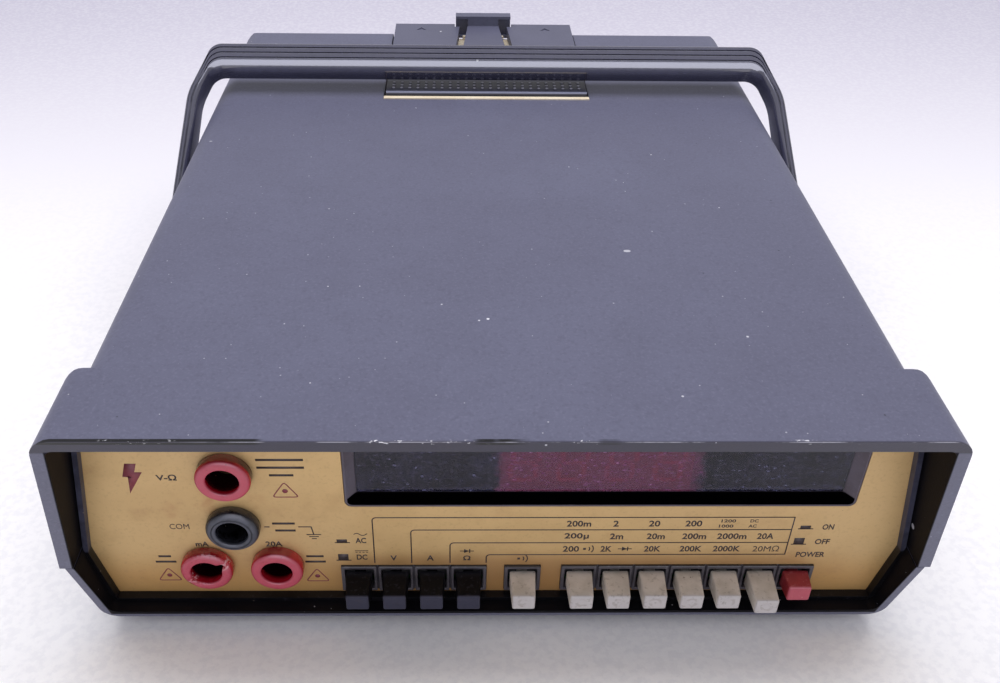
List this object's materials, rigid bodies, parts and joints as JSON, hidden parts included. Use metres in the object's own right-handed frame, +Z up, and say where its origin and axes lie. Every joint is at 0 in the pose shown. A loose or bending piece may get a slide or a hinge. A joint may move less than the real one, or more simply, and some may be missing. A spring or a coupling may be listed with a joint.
{
  "type": "digital multimeter",
  "caption": "Bench digital multimeter: hooded gold front panel with red digit window, input jacks and push buttons, swinging carry handle, battery cover at the rear.",
  "frame": {"origin": "centre of the overall box at the level of the feet", "axes": "+Z up, +Y from the front panel to the rear, +X to the right of a person facing the front panel"},
  "size_m": [0.2294, 0.266, 0.0979],
  "materials": {
    "shell_grey": "satin grey paint on moulded plastic",
    "panel_gold": "satin gold lacquer with dark print",
    "frame_black": "satin black plastic",
    "bezel_grey": "satin dark grey plastic",
    "window_smoke": "smoked acrylic",
    "board_green": "solder-masked laminate",
    "led_red": "red light-emitting digits",
    "chip_black": "moulded epoxy",
    "capacitor_sleeve": "shrink sleeve",
    "alloy_bare": "bare resistance alloy",
    "steel_bright": "zinc-plated steel",
    "lead_insulation": "insulated wire",
    "jack_red": "moulded red plastic",
    "jack_black": "moulded black plastic",
    "contact_metal": "plated brass",
    "fuse_glass": "clear glass tube",
    "button_black": "satin black plastic",
    "button_grey": "satin warm grey plastic",
    "button_red": "satin red plastic",
    "button_frame": "satin dark grey plastic",
    "switch_ivory": "moulded switch body",
    "tray_cream": "unpainted cream plastic",
    "cell_jacket": "printed cell jacket",
    "handle_black": "glossy black plastic",
    "screw_dark": "blackened steel",
    "washer_nylon": "white nylon",
    "rubber_black": "black rubber"
  },
  "bodies": {
    "case": {"upper_shell": "shell_grey", "lower_shell": "shell_grey", "panel_frame": "frame_black", "front_panel": "panel_gold", "display_bezel": "bezel_grey", "display_window": "window_smoke", "display_board": "board_green", "led_digits": "led_red", "main_board": "board_green", "integrated_circuits": "chip_black", "capacitors": "capacitor_sleeve", "buzzer": "chip_black", "current_shunt": "alloy_bare", "board_screws": "steel_bright", "internal_leads": "lead_insulation", "jack_volts_ohms": "jack_red", "jack_common": "jack_black", "jack_twenty_amps": "jack_red", "jack_sockets": "contact_metal", "jack_nuts": "steel_bright", "fuse_holder": "jack_black", "button_frames": "button_frame", "switch_bodies": "switch_ivory", "battery_tray": "tray_cream", "battery_cells": "cell_jacket", "battery_contacts": "steel_bright", "handle_screws": "screw_dark", "handle_washers": "washer_nylon", "dc_inlet": "jack_black", "rubber_feet": "rubber_black", "case_screws": "steel_bright"},
    "handle": {"handle": "handle_black"},
    "cover": {"battery_cover": "shell_grey"},
    "latch": {"cover_latch": "shell_grey"},
    "fuse_carrier": {"jack_milliamps": "jack_red", "milliamps_socket": "contact_metal", "fuse_tube": "fuse_glass", "fuse_caps": "steel_bright"},
    "button_ac_dc": {"button_ac_dc": "button_black"},
    "button_volts": {"button_volts": "button_black"},
    "button_amps": {"button_amps": "button_black"},
    "button_ohms": {"button_ohms": "button_black"},
    "button_continuity": {"button_continuity": "button_grey"},
    "button_range_1": {"button_range_1": "button_grey"},
    "button_range_2": {"button_range_2": "button_grey"},
    "button_range_3": {"button_range_3": "button_grey"},
    "button_range_4": {"button_range_4": "button_grey"},
    "button_range_5": {"button_range_5": "button_grey"},
    "button_range_6": {"button_range_6": "button_grey"},
    "button_power": {"button_power": "button_red"}
  },
  "joints": [
    {"name": "handle_swing", "type": "hinge", "parent": "case", "child": "handle", "pos_m": [0, -0.004, 0.0372], "axis": [1, 0, 0], "range_deg": [0, 105]},
    {"name": "cover_slide", "type": "slide", "parent": "case", "child": "cover", "axis": [0, 1, 0], "range_m": [0, 0.03]},
    {"name": "latch_flex", "type": "hinge", "parent": "cover", "child": "latch", "pos_m": [0, 0.088, 0.08], "axis": [1, 0, 0], "range_deg": [0, 5], "stiffness_Nm_per_rad": 0.3, "springref_deg": -1.15},
    {"name": "fuse_carrier_turn", "type": "hinge", "parent": "case", "child": "fuse_carrier", "pos_m": [-0.07873, -0.105, 0.0193], "axis": [0, 1, 0], "range_deg": [0, 90]},
    {"name": "ac_dc_press", "type": "slide", "parent": "case", "child": "button_ac_dc", "axis": [0, 1, 0], "range_m": [0, 0.0035], "stiffness_N_per_m": 180, "springref_m": -0.003},
    {"name": "volts_press", "type": "slide", "parent": "case", "child": "button_volts", "axis": [0, 1, 0], "range_m": [0, 0.0035], "stiffness_N_per_m": 180, "springref_m": -0.003},
    {"name": "amps_press", "type": "slide", "parent": "case", "child": "button_amps", "axis": [0, 1, 0], "range_m": [0, 0.0035], "stiffness_N_per_m": 180, "springref_m": -0.003},
    {"name": "ohms_press", "type": "slide", "parent": "case", "child": "button_ohms", "axis": [0, 1, 0], "range_m": [0, 0.0035], "stiffness_N_per_m": 180, "springref_m": -0.003},
    {"name": "continuity_press", "type": "slide", "parent": "case", "child": "button_continuity", "axis": [0, 1, 0], "range_m": [0, 0.0035], "stiffness_N_per_m": 180, "springref_m": -0.003},
    {"name": "range_1_press", "type": "slide", "parent": "case", "child": "button_range_1", "axis": [0, 1, 0], "range_m": [0, 0.0035], "stiffness_N_per_m": 180, "springref_m": -0.003},
    {"name": "range_2_press", "type": "slide", "parent": "case", "child": "button_range_2", "axis": [0, 1, 0], "range_m": [0, 0.0035], "stiffness_N_per_m": 180, "springref_m": -0.003},
    {"name": "range_3_press", "type": "slide", "parent": "case", "child": "button_range_3", "axis": [0, 1, 0], "range_m": [0, 0.0035], "stiffness_N_per_m": 180, "springref_m": -0.003},
    {"name": "range_4_press", "type": "slide", "parent": "case", "child": "button_range_4", "axis": [0, 1, 0], "range_m": [0, 0.0035], "stiffness_N_per_m": 180, "springref_m": -0.003},
    {"name": "range_5_press", "type": "slide", "parent": "case", "child": "button_range_5", "axis": [0, 1, 0], "range_m": [0, 0.0035], "stiffness_N_per_m": 180, "springref_m": -0.003},
    {"name": "range_6_press", "type": "slide", "parent": "case", "child": "button_range_6", "axis": [0, 1, 0], "range_m": [0, 0.0035], "stiffness_N_per_m": 180, "springref_m": -0.003},
    {"name": "power_press", "type": "slide", "parent": "case", "child": "button_power", "axis": [0, 1, 0], "range_m": [0, 0.0035], "stiffness_N_per_m": 180, "springref_m": -0.003}
  ]
}
